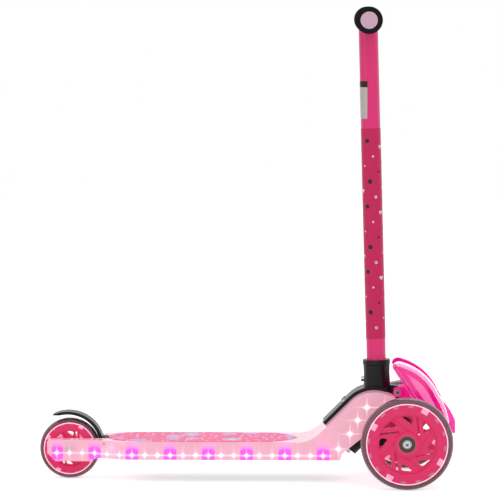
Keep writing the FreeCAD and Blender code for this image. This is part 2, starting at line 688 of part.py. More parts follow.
ears = [
    slab([("front_x - 16", "front_radius + 53.5"), ("front_x - 12.5", "front_radius + 51.5"),
          ("front_x - 2", "front_radius + 46"),
          ("front_x + 8", "front_radius + 44"), ("front_x + 8", "front_radius + 64"),
          ("front_x - 8", "front_radius + 64"), ("front_x - 16", "front_radius + 62")], "4")
    for _ in range(2)
]
for cheek, side in zip(ears, (1, -1)):
    place(cheek, y=f"{side} * 8.5")
screw_way = cross_rod("2.1", "40", "crown_x + 31", "0", "crown_height - 4.5")
keep(minus(fuse(knot, *ears), knot_room, screw_way), "fairing_shell")
shank = cross_rod("2", "26", "crown_x + 31", "0", "crown_height - 4.5")
pan = cross_rod("4.2", "2.5", "crown_x + 31", "-11.75", "crown_height - 4.5")
nut = cross_rod("4.2", "3", "crown_x + 31", "12", "crown_height - 4.5")
keep(fuse(shank, pan, nut), "fairing_screw")
light_board = slab([("front_x + 16", "front_radius + 54"), ("front_x + 18", "front_radius + 55.5"),
                    ("front_x + 40", "front_radius + 28.5"), ("front_x + 38", "front_radius + 27")], "40")
keep(light_board, "fairing_led_board")
glow = []
for lift in (50, 42, 34):
    for y in (-12, 12):
        along = f"front_x + 18 + ({55.5 - lift}) * 0.815"
        glow.append(block((f"{along} + 0.9", f"{y} - 2.5", f"front_radius + {lift} - 1"),
                          (f"{along} + 4", f"{y} + 2.5", f"front_radius + {lift} + 2")))
keep(group(*glow), "fairing_leds")

# ---------------------------------------------------------------- truck
eye = pivot_rod("eye_radius", "-eye_half", "eye_half")
web = slab([at_pivot("-14", "-4"), at_pivot("-16", "-12"), ("front_x - 22", "front_radius - beam_half - 6"),
            ("front_x", "front_radius - beam_half"), ("front_x + beam_half", "front_radius"),
            ("front_x", "front_radius + beam_half"), ("front_x - 14", "front_radius + beam_half"),
            at_pivot("eye_half - 0.5", "-14"), at_pivot("eye_half - 0.5", "-4")], "20")
wings = slab([at_pivot("-9", "-5"), at_pivot("9", "-5"), at_pivot("9", "1"), at_pivot("-9", "1")],
             "2 * wing_reach")
beam = slab([("front_x - beam_half", "front_radius - beam_half + 2"),
             ("front_x - beam_half + 2", "front_radius - beam_half"),
             ("front_x + beam_half - 2", "front_radius - beam_half"),
             ("front_x + beam_half", "front_radius - beam_half + 2"),
             ("front_x + beam_half", "front_radius + beam_half - 2"),
             ("front_x + beam_half - 2", "front_radius + beam_half"),
             ("front_x - beam_half + 2", "front_radius + beam_half"),
             ("front_x - beam_half", "front_radius + beam_half - 2")], "2 * beam_half_length")
truck_bore = pivot_rod("kingpin_radius + running_fit", "-eye_half - 4", "eye_half + 4")
bolt_ways = [cross_rod("bearing_bore + 0.02", "50", "front_x", f"{side} * beam_half_length", "front_radius")
             for side in (1, -1)]
keep(minus(fuse(eye, web, wings, beam), truck_bore, *bolt_ways), "truck_body")
keep(fuse(pivot_rod("kingpin_radius", f"-({lug_far}) - 3", f"{lug_far} + 2"),
          pivot_rod("6.5", f"{lug_far}", f"{lug_far} + 4")), "kingpin")
keep(minus(pivot_rod("6.8", f"-({lug_far}) - 6", f"-({lug_far})"),
           pivot_rod("kingpin_radius", f"-({lug_far}) - 3", f"-({lug_far})")), "kingpin_nut")
bumpers = []
for y in (-22, 22):
    bx, bz = at_pivot("0", "1")
    bumpers.append(rod("6", "eye_radius + 0.5", bx, str(y), bz, "-pivot_angle"))
keep(group(*bumpers), "truck_spring")

# ---------------------------------------------------------------- wheels
HALF = "half_wheel"


# window and slit outlines of a wheel core, as shares of its open face's radius; a third entry is an arc
WINDOW = [("0.705", "-0.176"), ("0.774", "-0.194", "-0.115"), ("0.918", "-0.09"), ("0.931", "0.112", "-0.038"),
          ("0.862", "0.138"), ("0.677", "-0.094", "-0.051")]
SLIT_START = (0.897, -0.292)
SLIT_END = (0.269, -0.372)


def wheel(radius, core, band, boss_radius, slit_share, modules):
    """The turning pieces of one wheel about Y, centred on the origin."""
    made = {}
    hub = body()
    profile = sketch(hub, "XY_Plane")
    loop(profile, [("bearing_radius - 2.5", "-2"), ("bearing_radius", "-2"), ("bearing_radius", "-9"),
                   (boss_radius, "-9"), (boss_radius, "-web_thick / 2"),
                   (f"{core} - rim_band", "-web_thick / 2"), (f"{core} - rim_band", f"-{HALF} + 3"), (core, f"-{HALF} + 3"),
                   (core, f"{HALF} - 3"), (f"{core} - rim_band", f"{HALF} - 3"), (f"{core} - rim_band", "web_thick / 2"),
                   (boss_radius, "web_thick / 2"), (boss_radius, "9"), ("bearing_radius", "9"),
                   ("bearing_radius", "2"), ("bearing_radius - 2.5", "2")])
    turn(hub, profile)
    reach = f"({core} - rim_band)"
    window_sketch = sketch(hub, "XZ_Plane")
    loop(window_sketch, [tuple(f"{share} * {reach}" for share in corner) for corner in WINDOW])
    spread(hub, cut(hub, window_sketch), 8)
    slit = sketch(hub, "XZ_Plane")
    run_x, run_z = SLIT_END[0] - SLIT_START[0], SLIT_END[1] - SLIT_START[1]
    end_x, end_z = SLIT_START[0] + run_x * slit_share, SLIT_START[1] + run_z * slit_share
    loop(slit, [(f"{end_x} * {reach}", f"{end_z} * {reach} - slit_width"),
                (f"{SLIT_START[0]} * {reach}", f"{SLIT_START[1]} * {reach} - slit_width"),
                (f"{SLIT_START[0]} * {reach}", f"{SLIT_START[1]} * {reach}"),
                (f"{end_x} * {reach}", f"{end_z} * {reach}")])
    spread(hub, cut(hub, slit), 4)
    grooves = []
    slope = math.degrees(math.atan2(run_z, run_x))
    for k in range(4):
        for side in (1, -1):
            groove = doc.addObject("Part::Box", "Box")
            bind(groove, "Length", f"{abs(run_x) * slit_share} * {reach}")
            bind(groove, "Width", "2")
            bind(groove, "Height", "slit_width")
            lean = FreeCAD.Rotation(FreeCAD.Vector(0, 1, 0), 180 - slope)
            spin = FreeCAD.Rotation(FreeCAD.Vector(0, 1, 0), 45 + 90 * k)
            corner = FreeCAD.Vector(num(f"{end_x} * {reach}"), num(f"{side} * web_thick / 2 - 1"),
                                    num(f"{end_z} * {reach}"))
            groove.Placement = FreeCAD.Placement(spin.multVec(corner), spin * lean)
            grooves.append(groove)
    hub = minus(hub, *grooves)
    made["core"] = hub
    lights = []
    pockets = []
    for k in range(modules):
        for members, grow in ((lights, "0"), (pockets, "0.1")):
            lamp = doc.addObject("Part::Box", "Box")
            bind(lamp, "Length", f"{band} - {core} - 1.4 + 2 * {grow}")
            bind(lamp, "Width", f"14 + 2 * {grow}")
            bind(lamp, "Height", f"9 + 2 * {grow}")
            spin = FreeCAD.Rotation(FreeCAD.Vector(0, 1, 0), k * 360 / modules - 28)
            offset = FreeCAD.Vector(num(f"{core} + 0.7 - {grow}"), num(f"-7 - {grow}"), num(f"-4.5 - {grow}"))
            lamp.Placement = FreeCAD.Placement(spin.multVec(offset), spin)
            members.append(lamp)
    solid_band = turned("XY_Plane", [(core, f"-{HALF} + 3"), (f"{band} - 1.5", f"-{HALF} + 3"),
                                     (band, f"-{HALF} + 4.5"), (band, f"{HALF} - 4.5"),
                                     (f"{band} - 1.5", f"{HALF} - 3"), (core, f"{HALF} - 3")])
    made["band"] = minus(solid_band, *pockets)
    made["leds"] = group(*lights)
    crown = f"{radius} - {band}"
    made["tyre"] = turned("XY_Plane", [
        (f"{band} - 1.5", f"-{HALF} + 3"), (f"{band} + 0.4", f"-{HALF}"),
        (f"{radius} - ({crown}) * 0.45", f"-{HALF}"), (radius, "-5"), (radius, "5"),
        (f"{radius} - ({crown}) * 0.45", HALF), (f"{band} + 0.4", HALF), (f"{band} - 1.5", f"{HALF} - 3"),
        (band, f"{HALF} - 4.5"), (band, f"-{HALF} + 4.5")])
    races = []
    for side in (1, -1):
        races.append(turned("XY_Plane", [
            ("bearing_bore", f"{side} * 2"), ("bearing_radius", f"{side} * 2"),
            ("bearing_radius", f"{side} * 9"), ("bearing_radius - 1.8", f"{side} * 9"),
            ("bearing_radius - 2.1", f"{side} * 8.6"), ("bearing_bore + 2.2", f"{side} * 8.6"),
            ("bearing_bore + 1.9", f"{side} * 9"), ("bearing_bore", f"{side} * 9")]))
    made["bearings"] = group(*races)
    made["spacer"] = turned("XY_Plane", tube_ring("bearing_bore + 0.1", "bearing_bore + 2", "-2", "2"))
    return made


def moved(shape, x, y, z):
    """A copy of a shape at a wheel centre."""
    made = doc.addObject("Part::Compound", "Placed")
    made.Links = [shape]
    return place(made, x, y, z)


for name, side in (("front_left", 1), ("front_right", -1)):
    pieces = wheel("front_radius", "core_radius", "band_radius", "hub_radius", 1.0, 4)
    for kind, shape in pieces.items():
        keep(moved(shape, "front_x", f"{side} * half_track", "front_radius"), f"{name}_wheel_{kind}")
pieces = wheel("rear_radius", "rear_core_radius", "rear_band_radius", "rear_hub_radius", 0.45, 4)
for kind, shape in pieces.items():
    keep(moved(shape, "rear_x", "0", "rear_radius"), f"rear_wheel_{kind}")
# axle bolts are fixed in the beam; a collar on each side of the bearings keeps the wheel in place
bolts = []
for side in (1, -1):
    bolt = turned("XY_Plane", [
        ("0", f"{side} * (beam_half_length - 22)"), ("bearing_bore", f"{side} * (beam_half_length - 22)"),
        ("bearing_bore", f"{side} * beam_half_length"), ("6", f"{side} * beam_half_length"),
        ("6", f"{side} * (half_track - 9 - gap)"),
        ("bearing_bore - running_fit", f"{side} * (half_track - 9 - gap)"),
        ("bearing_bore - running_fit", f"{side} * (half_track + 9 + gap)"),
        ("bolt_head_radius", f"{side} * (half_track + 9 + gap)"),
        ("bolt_head_radius", f"{side} * (half_track + 11.6)"),
        ("bolt_head_radius - 1.4", f"{side} * (half_track + 13)"), ("0", f"{side} * (half_track + 13)")])
    bolts.append(place(bolt, "front_x", "0", "front_radius"))
keep(group(*bolts), "front_axle_bolts")
rear_axle = turned("XY_Plane", [
    ("0", "-fork_half_width + 2"), ("6", "-fork_half_width + 2"), ("6", "-fork_half_width + 4"),
    ("bearing_bore + 0.1", "-fork_half_width + 4"), ("bearing_bore + 0.1", "-fork_gap_half"),
    ("6.2", "-fork_gap_half"), ("6.2", "-9 - gap"), ("bearing_bore - running_fit", "-9 - gap"),
    ("bearing_bore - running_fit", "9 + gap"), ("bearing_bore - running_fit", "fork_half_width - 4"),
    ("3", "fork_half_width - 4"), ("3", "fork_half_width - 2.2"), ("0", "fork_half_width - 2.2")])
keep(place(rear_axle, "rear_x", "0", "rear_radius"), "rear_axle")
sleeve = turned("XY_Plane", tube_ring("bearing_bore + 0.1", "6.2", "9 + gap", "fork_gap_half"))
place(sleeve, "rear_x", "0", "rear_radius")
lock_nut = turned("XY_Plane", tube_ring("3", "6", "fork_half_width - 4", "fork_half_width - 2"))
place(lock_nut, "rear_x", "0", "rear_radius")
keep(group(sleeve, lock_nut), "rear_axle_fittings")
caps = [cross_rod("6.6", "2", "rear_x", f"{side} * (fork_half_width - 1)", "rear_radius") for side in (1, -1)]
keep(group(*caps), "rear_axle_caps")

# ---------------------------------------------------------------- rear brake
hinge_x = "rear_x + brake_hinge_setback"
curve_x, curve_z = "rear_x - 2.4", "rear_radius + 2.2"
blade = slab([
    (f"{curve_x} + 47.3", f"{curve_z} + 8.3", "-(rear_radius + 3.2 + brake_thick + 1.2)"),
    (f"{curve_x} - 17.6", f"{curve_z} + 43.6"), (f"{curve_x} - 20.5", f"{curve_z} + 42"),
    (f"{curve_x} - 10.4", f"{curve_z} + 41.9", "rear_radius + 3.2"),
    (f"{curve_x} + 41.3", f"{curve_z} + 12.6"), (f"{hinge_x} - 5", "brake_hinge_height"),
], "2 * brake_half_width")
knuckles = [cross_rod("5.5", "8", hinge_x, str(y), "brake_hinge_height") for y in (-9, 9)]
coil_room = cross_rod("5.2", "10", hinge_x, "0", "brake_hinge_height")
pin_way = cross_rod("2.05", "40", hinge_x, "0", "brake_hinge_height")
keep(minus(fuse(blade, *knuckles), coil_room, pin_way), "brake_lever")
keep(cross_rod("2", "2 * fork_half_width - 4", hinge_x, "0", "brake_hinge_height"), "brake_pin")
coil = minus(cross_rod("4.6", "9", hinge_x, "0", "brake_hinge_height"),
             cross_rod("2.4", "10", hinge_x, "0", "brake_hinge_height"))
near_leg = block((f"{hinge_x} + 2", "-1", "brake_hinge_height - 4.4"),
                 (f"{hinge_x} + 8", "1", "brake_hinge_height - 3.4"))
far_leg = block((f"{hinge_x} - 3.5", "-4", "brake_hinge_height + 2"),
                (f"{hinge_x} - 1", "-2", "brake_hinge_height + 3.6"))
keep(fuse(coil, near_leg, far_leg), "brake_spring")

doc.recompute()
bad = [f"{o.Name} {o.State}" for o in doc.Objects if "Invalid" in o.State or "Error" in o.State]
if bad:
    raise RuntimeError("objects that failed: " + "; ".join(bad))
os.makedirs("parts", exist_ok=True)
for piece in OUT:
    if piece.Shape.isNull() or not piece.Shape.isValid() or not piece.Shape.Solids:
        raise RuntimeError("no valid solid in " + piece.Label)
    piece.Shape.exportStep(f"parts/{piece.Label}.step")
    box = piece.Shape.BoundBox
    print(piece.Label, len(piece.Shape.Solids), f"{box.XMin:.1f} {box.XMax:.1f} {box.YMin:.1f}",
          f"{box.YMax:.1f} {box.ZMin:.1f} {box.ZMax:.1f}")
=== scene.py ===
"""Looks of a child's light-up kick scooter, modelled around its fixed CAD frame."""

import json
import math

import bmesh
import bpy
from mathutils import Matrix, Vector


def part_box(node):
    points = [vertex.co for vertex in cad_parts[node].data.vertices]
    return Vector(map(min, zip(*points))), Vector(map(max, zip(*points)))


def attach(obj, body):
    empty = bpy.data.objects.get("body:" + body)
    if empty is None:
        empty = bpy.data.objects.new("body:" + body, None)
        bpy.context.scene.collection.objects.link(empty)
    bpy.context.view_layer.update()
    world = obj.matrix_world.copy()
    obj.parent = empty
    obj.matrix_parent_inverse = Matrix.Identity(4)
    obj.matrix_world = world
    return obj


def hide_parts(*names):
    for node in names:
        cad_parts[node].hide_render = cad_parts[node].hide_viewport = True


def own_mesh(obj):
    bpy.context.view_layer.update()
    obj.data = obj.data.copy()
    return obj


bl_info = {
    "name": "Light-up kick scooter",
    "version": (1, 0, 0),
    "blender": (4, 5, 0),
    "location": "View3D > Sidebar > Scooter",
    "description": "Models the tyres, grips, prints, lights and stage of a kick scooter",
    "category": "Object",
}

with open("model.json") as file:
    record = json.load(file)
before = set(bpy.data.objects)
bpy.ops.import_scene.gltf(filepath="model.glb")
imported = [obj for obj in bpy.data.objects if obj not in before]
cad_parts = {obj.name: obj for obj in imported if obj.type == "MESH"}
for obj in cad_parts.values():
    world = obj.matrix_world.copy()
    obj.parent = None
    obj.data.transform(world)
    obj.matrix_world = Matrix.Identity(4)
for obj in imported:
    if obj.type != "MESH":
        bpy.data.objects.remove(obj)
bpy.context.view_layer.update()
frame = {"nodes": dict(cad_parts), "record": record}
MM = 0.001
ROW_END = 112 * MM  # the level row of lights stops here, and the nose's lights go on
INNER_SIDE = 28 * MM  # only walls farther out than this glow
WHEELS = ("front_left", "front_right", "rear")


class ScooterSizes(bpy.types.PropertyGroup):
    """Sizes of the modelled pieces."""

    grip_ribs: bpy.props.IntProperty(name="Grip ribs", description="Raised rings on one grip", default=16)
    rib_height: bpy.props.FloatProperty(
        name="Rib height", description="Height of a ring", default=0.0009, unit="LENGTH")
    dot_pitch: bpy.props.FloatProperty(
        name="Dot pitch", description="Mean climb from one printed mark to the next", default=0.0041,
        unit="LENGTH")
    print_lift: bpy.props.FloatProperty(
        name="Print lift", description="How far a print stands off its tube", default=0.00008, unit="LENGTH")
    led_pitch: bpy.props.FloatProperty(
        name="Light pitch", description="Distance between lights in the deck", default=0.0167, unit="LENGTH")
    led_height: bpy.props.FloatProperty(
        name="Light height", description="Height of the deck's row of lights", default=0.037, unit="LENGTH")
    edge: bpy.props.FloatProperty(
        name="Moulded edge", description="Rounding of moulded edges", default=0.0016, unit="LENGTH")
    snap_travel: bpy.props.FloatProperty(
        name="Snap travel", description="How far the snap button goes in", default=0.003, unit="LENGTH")
    rim_width: bpy.props.FloatProperty(
        name="Petal rim", description="Clear rim round a petal", default=0.0042, unit="LENGTH")


class ScooterColours(bpy.types.PropertyGroup):
    """Colours as sRGB hex."""

    shell: bpy.props.StringProperty(name="Deck shell", description="Translucent pink", default="#fac9da")
    glow: bpy.props.StringProperty(name="Deck glow", description="Magenta light", default="#ff46be")
    white_light: bpy.props.StringProperty(
        name="White light", description="Cool white light", default="#fff2fb")
    paint: bpy.props.StringProperty(name="Stem paint", description="Gloss pink", default="#f2337f")
    wrap: bpy.props.StringProperty(name="Stem wrap", description="Deep pink film", default="#d3225f")
    black: bpy.props.StringProperty(name="Black plastic", description="Gloss black", default="#0d0c0e")
    rubber: bpy.props.StringProperty(name="Grip rubber", description="Matte black", default="#0e0c0e")
    plug: bpy.props.StringProperty(name="Bar plug", description="Pale pink", default="#d9b3c6")
    core: bpy.props.StringProperty(name="Wheel core", description="Hot pink", default="#ee2f70")
    tyre: bpy.props.StringProperty(name="Tyre", description="Smoky mauve", default="#9a7480")
    magenta: bpy.props.StringProperty(name="Fairing", description="Magenta", default="#e8199c")
    rim: bpy.props.StringProperty(name="Fairing rim", description="Clear pink", default="#f7b6de")
    steel: bpy.props.StringProperty(name="Plated steel", description="Zinc plate", default="#b9bcc4")
    shield: bpy.props.StringProperty(name="Bearing shield", description="Dark bronze", default="#4c443c")
    board: bpy.props.StringProperty(name="Circuit board", description="Green mask", default="#1f6b45")
    deck_print: bpy.props.StringProperty(name="Deck print", description="Print ground", default="#ff5f9f")
    lilac: bpy.props.StringProperty(name="Lilac", description="Flowers on the deck", default="#d3c0ee")


def linear(text):
    """An sRGB hex colour as linear RGBA."""
    channels = [int(text[i:i + 2], 16) / 255 for i in (1, 3, 5)]
    return [c / 12.92 if c <= 0.04045 else ((c + 0.055) / 1.055) ** 2.4 for c in channels] + [1.0]


def sizes():
    return bpy.context.scene.scooter_sizes


def colour(name):
    return linear(getattr(bpy.context.scene.scooter_colours, name))


# ------------------------------------------------------------------ materials
def add_node(tree, kind, settings=None, inputs=None):
    """Adds a shader node, sets its properties, and sets or links its inputs."""
    made = tree.nodes.new(kind)
    for key, value in (settings or {}).items():
        setattr(made, key, value)
    for key, value in (inputs or {}).items():
        if isinstance(value, bpy.types.NodeSocket):
            tree.links.new(value, made.inputs[key])
        else:
            made.inputs[key].default_value = value
    return made


def surface(name, tint, roughness=0.4, **inputs):
    """A principled material; repeated calls return the same one. The frame's materials lack the prefix."""
    label = "scooter_" + name
    if label in bpy.data.materials:
        return bpy.data.materials[label]
    made = bpy.data.materials.new(label)
    made.use_nodes = True
    shader = made.node_tree.nodes["Principled BSDF"]
    shader.inputs["Base Color"].default_value = tint
    shader.inputs["Roughness"].default_value = roughness
    shader.inputs["Specular IOR Level"].default_value = 0.3
    for key, value in inputs.items():
        shader.inputs[key.replace("_", " ")].default_value = value
    return made


def math_node(tree, operation, *values):
    return add_node(tree, "ShaderNodeMath", {"operation": operation}, dict(enumerate(values))).outputs[0]


def fine_bumps(material, scale, strength, distance=0.0002):
    """A fine moulded or rubbed grain; scale is in cycles per metre."""
    tree = material.node_tree
    if any(each.type == "BUMP" for each in tree.nodes):
        return material
    where = add_node(tree, "ShaderNodeTexCoord").outputs["Object"]
    grain = add_node(tree, "ShaderNodeTexNoise", None, {"Vector": where, "Scale": scale, "Detail": 3.0})
    bump = add_node(tree, "ShaderNodeBump", None,
                    {"Height": grain.outputs["Fac"], "Strength": strength, "Distance": distance})
    tree.links.new(bump.outputs[0], tree.nodes["Principled BSDF"].inputs["Normal"])
    return material


def spot(tree, across, height, spread):
    """A soft round glow from its two offsets, in metres."""
    square = math_node(tree, "ADD", math_node(tree, "MULTIPLY", across, across),
                       math_node(tree, "MULTIPLY", height, height))
    return math_node(tree, "EXPONENT", math_node(tree, "MULTIPLY", square, -1 / spread ** 2))


def lamp_places(node):
    """The (x, z) middles of a CAD node's lamps on the right of the deck, from the back to the nose."""
    bm = bmesh.new()
    bm.from_mesh(frame["nodes"][node].data)
    bmesh.ops.remove_doubles(bm, verts=bm.verts, dist=1e-6)
    waiting = {v for v in bm.verts if v.co.y < 0}
    places = []
    while waiting:
        found, spread = [], [waiting.pop()]
        while spread:
            here = spread.pop()
            found.append(here.co)
            for edge in here.link_edges:
                other = edge.other_vert(here)
                if other in waiting:
                    waiting.remove(other)
                    spread.append(other)
        places.append(tuple((min(c[k] for c in found) + max(c[k] for c in found)) / 2 for k in (0, 2)))
    bm.free()
    return sorted(places)


def lit_shell():
    """Translucent pink plastic with painted light from the lamps behind its side walls: a painted glow round each
    lamp, painted star-shaped glints, a painted magenta haze that also tints the base colour, and a faint even
    painted glow all over.
    """
    if "scooter_shell_plastic" in bpy.data.materials:
        return bpy.data.materials["scooter_shell_plastic"]
    made = surface("shell_plastic", colour("shell"), 0.2, Transmission_Weight=0.35, Coat_Weight=0.2)
    tree = made.node_tree
    where = add_node(tree, "ShaderNodeTexCoord").outputs["Object"]
    split = add_node(tree, "ShaderNodeSeparateXYZ", None, {"Vector": where})
    x, y, z = split.outputs
    first = lamp_places("leds_magenta")[0][0]
    pitch, row = sizes().led_pitch, sizes().led_height
    steps = math_node(tree, "DIVIDE", math_node(tree, "SUBTRACT", x, first - pitch / 2), pitch)
    share = math_node(tree, "SUBTRACT", math_node(tree, "FRACT", steps), 0.5)
    across = math_node(tree, "MULTIPLY", share, pitch)
    height = math_node(tree, "SUBTRACT", z, row)
    # painted glints: a thin painted streak along the row and a tall thin painted ray through each lamp, added to
    # its round painted glow
    streak = math_node(tree, "MULTIPLY", spot(tree, 0.0, height, 0.0011), 0.35)
    thin = math_node(tree, "MULTIPLY", across, 12.0)
    upright = math_node(tree, "MULTIPLY", spot(tree, thin, height, 0.0085), 0.4)
    hot = math_node(tree, "ADD", math_node(tree, "ADD", spot(tree, across, height, 0.0021), streak), upright)
    third = math_node(tree, "FRACT", math_node(tree, "DIVIDE", math_node(tree, "FLOOR", steps), 3.0))
    is_pink = math_node(tree, "LESS_THAN", third, 0.2)
    # painted magenta haze, strong round every third lamp
    haze = math_node(tree, "MULTIPLY", spot(tree, math_node(tree, "MULTIPLY", across, 0.8), height, 0.0115),
                     math_node(tree, "MULTIPLY_ADD", is_pink, 0.95, 0.02))
    start = math_node(tree, "GREATER_THAN", x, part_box("deck_shell")[0][0] + 0.006)
    stop = math_node(tree, "LESS_THAN", x, ROW_END)
    sides = math_node(tree, "GREATER_THAN", math_node(tree, "ABSOLUTE", y), INNER_SIDE)
    along = math_node(tree, "MULTIPLY", math_node(tree, "MULTIPLY", start, stop), sides)
    hot = math_node(tree, "MULTIPLY", hot, along)
    haze = math_node(tree, "MULTIPLY", haze, along)
    nose = None
    for lamp_x, lamp_z in lamp_places("leds_white"):
        if lamp_x < ROW_END:
            continue
        dx, dz = math_node(tree, "SUBTRACT", x, lamp_x), math_node(tree, "SUBTRACT", z, lamp_z)
        one = spot(tree, dx, dz, 0.0026)
        # two crossed painted rays make a star-shaped painted glint at each nose lamp
        for long, wide in ((dx, dz), (dz, dx)):
            ray = spot(tree, math_node(tree, "MULTIPLY", wide, 16.0), long, 0.0115)
            one = math_node(tree, "ADD", one, math_node(tree, "MULTIPLY", ray, 0.45))
        nose = one if nose is None else math_node(tree, "ADD", nose, one)
    nose = math_node(tree, "MULTIPLY", nose, sides)
    white = math_node(tree, "MINIMUM", math_node(tree, "ADD", hot, nose), 1.0)
    tinted = math_node(tree, "MINIMUM", math_node(tree, "MULTIPLY", haze, 1.6), 1.0)
    haze_tint = add_node(tree, "ShaderNodeMix", {"data_type": "RGBA"},
                         {0: tinted, 6: colour("shell"), 7: colour("glow")})
    mix = add_node(tree, "ShaderNodeMix", {"data_type": "RGBA"},
                   {0: white, 6: haze_tint.outputs[2], 7: colour("white_light")})
    power = math_node(tree, "ADD", haze, math_node(tree, "ADD", hot, nose))
    shader = tree.nodes["Principled BSDF"]
    # the painted haze also tints the base colour magenta
    tree.links.new(haze_tint.outputs[2], shader.inputs["Base Color"])
    tree.links.new(mix.outputs[2], shader.inputs["Emission Color"])
    # a faint even painted glow lies over the whole shell
    tree.links.new(math_node(tree, "MULTIPLY_ADD", power, 1.1, 0.16), shader.inputs["Emission Strength"])
    return made


def printed_deck():
    """Pink print with round lilac flowers with cream hearts, and pale dots."""
    if "scooter_deck_print" in bpy.data.materials:
        return bpy.data.materials["scooter_deck_print"]
    # a faint painted glow in the print's own colour
    made = surface("deck_print", colour("deck_print"), 0.45, Emission_Color=colour("deck_print"),
                   Emission_Strength=0.1)
    tree = made.node_tree
    where = add_node(tree, "ShaderNodeTexCoord").outputs["Object"]
    cells = add_node(tree, "ShaderNodeTexVoronoi", None, {"Vector": where, "Scale": 26.0, "Randomness": 0.75})
    dots = add_node(tree, "ShaderNodeTexVoronoi", None, {"Vector": where, "Scale": 95.0, "Randomness": 0.6})
    petals = math_node(tree, "LESS_THAN", cells.outputs["Distance"], 0.34)
    heart = math_node(tree, "LESS_THAN", cells.outputs["Distance"], 0.13)
    small = math_node(tree, "LESS_THAN", dots.outputs["Distance"], 0.22)
    with_dots = add_node(tree, "ShaderNodeMix", {"data_type": "RGBA"},
                         {0: small, 6: colour("deck_print"), 7: linear("#fbe9f1")})
    with_petals = add_node(tree, "ShaderNodeMix", {"data_type": "RGBA"},
                           {0: petals, 6: with_dots.outputs[2], 7: colour("lilac")})
    final = add_node(tree, "ShaderNodeMix", {"data_type": "RGBA"},
                     {0: heart, 6: with_petals.outputs[2], 7: linear("#fbf1d8")})
    tree.links.new(final.outputs[2], tree.nodes["Principled BSDF"].inputs["Base Color"])
    return made


def patch_film():
    """Pale retro-reflective film with a dark band along its top."""
    if "scooter_reflective_film" in bpy.data.materials:
        return bpy.data.materials["scooter_reflective_film"]
    made = surface("reflective_film", linear("#c9c2bd"), 0.35)
    tree = made.node_tree
    where = add_node(tree, "ShaderNodeTexCoord").outputs["Object"]
    height = add_node(tree, "ShaderNodeSeparateXYZ", None, {"Vector": where}).outputs[2]
    band = math_node(tree, "GREATER_THAN", height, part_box("reflector_patch")[1][2] - 8 * MM)
    mix = add_node(tree, "ShaderNodeMix", {"data_type": "RGBA"},
                   {0: band, 6: linear("#c9c2bd"), 7: colour("black")})
    tree.links.new(mix.outputs[2], tree.nodes["Principled BSDF"].inputs["Base Color"])
    return made


def finishes():
    """The material of each kind of carried-over CAD node, by the record's slot."""
    led = colour("white_light")
    return {
        "pink_shell": lit_shell(),
        # injection-moulded black ABS: an even sheen with hardly any grain
        "black_plastic": fine_bumps(
            surface("gloss_black_plastic", colour("black"), 0.3, Specular_IOR_Level=0.22), 900, 0.05),
        # moulded glass-filled nylon: a duller black with a grain of under a millimetre
        "dark_plastic": fine_bumps(
            surface("moulded_black_nylon", colour("black"), 0.5, Specular_IOR_Level=0.2), 1200, 0.2),
        "print": printed_deck(),
        # powder-coated steel tube: smooth, saturated, with a soft highlight along it
        "pink_paint": surface("gloss_pink_paint", colour("paint"), 0.3, Coat_Weight=0.12),
        # printed vinyl: flatter than the paint round it
        "wrap_film": surface("printed_film", colour("wrap"), 0.4),
        "pale_patch": patch_film(),
        # bright zinc plate on steel: a pale, slightly blurred reflection
        "steel": surface("zinc_plated_steel", colour("steel"), 0.28, Metallic=1.0),
        "spring_steel": surface("spring_steel", linear("#8d9096"), 0.35, Metallic=1.0),
        # moulded thermoplastic rubber: matt black, with a fine tooth
        "grip_rubber": fine_bumps(
            surface("grip_rubber", colour("rubber"), 0.7, Specular_IOR_Level=0.15), 1500, 0.3),
        "plug_plastic": surface("plug_plastic", colour("plug"), 0.4),
        # clear magenta plastic with an even painted glow in its own colour
        "fairing_plastic": surface("fairing_plastic", colour("magenta"), 0.16, Transmission_Weight=0.35,
                                   Coat_Weight=0.5, Emission_Color=colour("magenta"), Emission_Strength=0.35),
        # moulded polypropylene: hot pink with a soft sheen, and a faint painted glow in its own colour for the
        # light from inside the wheel
        "core_plastic": surface("core_plastic", colour("core"), 0.32, Coat_Weight=0.1,
                                Emission_Color=colour("core"), Emission_Strength=0.06),
        # cast polyurethane: smoky, half clear, blurring what is behind it
        "clear_tyre": surface("clear_urethane", colour("tyre"), 0.2, Transmission_Weight=0.55, IOR=1.45),
        "led_clear": surface("lit_white_lamp", led, 0.3, Emission_Color=led, Emission_Strength=7.0),
        "led_pink": surface("lit_magenta_lamp", colour("glow"), 0.3, Emission_Color=colour("glow"),
                            Emission_Strength=7.0),
        "board": surface("circuit_board", colour("board"), 0.4),
        "cell": surface("battery_wrap", linear("#4a4d55"), 0.35, Metallic=0.6),
        "elastomer": surface("bumper_rubber", linear("#232325"), 0.8),
        "button": surface("button_plastic", linear("#dcdde0"), 0.35),
        "nylon": surface("bush_nylon", linear("#d8d8d2"), 0.5),
    }


# ------------------------------------------------------------------ modelling helpers
def finish_piece(name, bm, materials, body, covers=(), smooth=True):
    """Turns a bmesh in the row frame into a piece that rides a body."""
    bmesh.ops.recalc_face_normals(bm, faces=bm.faces)
    mesh = bpy.data.meshes.new(name)
    bm.to_mesh(mesh)
    bm.free()
    made = bpy.data.objects.new(name, mesh)
    bpy.context.scene.collection.objects.link(made)
    for material in materials:
        mesh.materials.append(material)
    if smooth:
        mesh.shade_smooth()
        mesh.set_sharp_from_angle(angle=math.radians(38))
    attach(made, body)
    if covers:
        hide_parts(*covers)
    return made


def middle(node):
    low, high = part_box(node)
    return (Vector(low) + Vector(high)) / 2


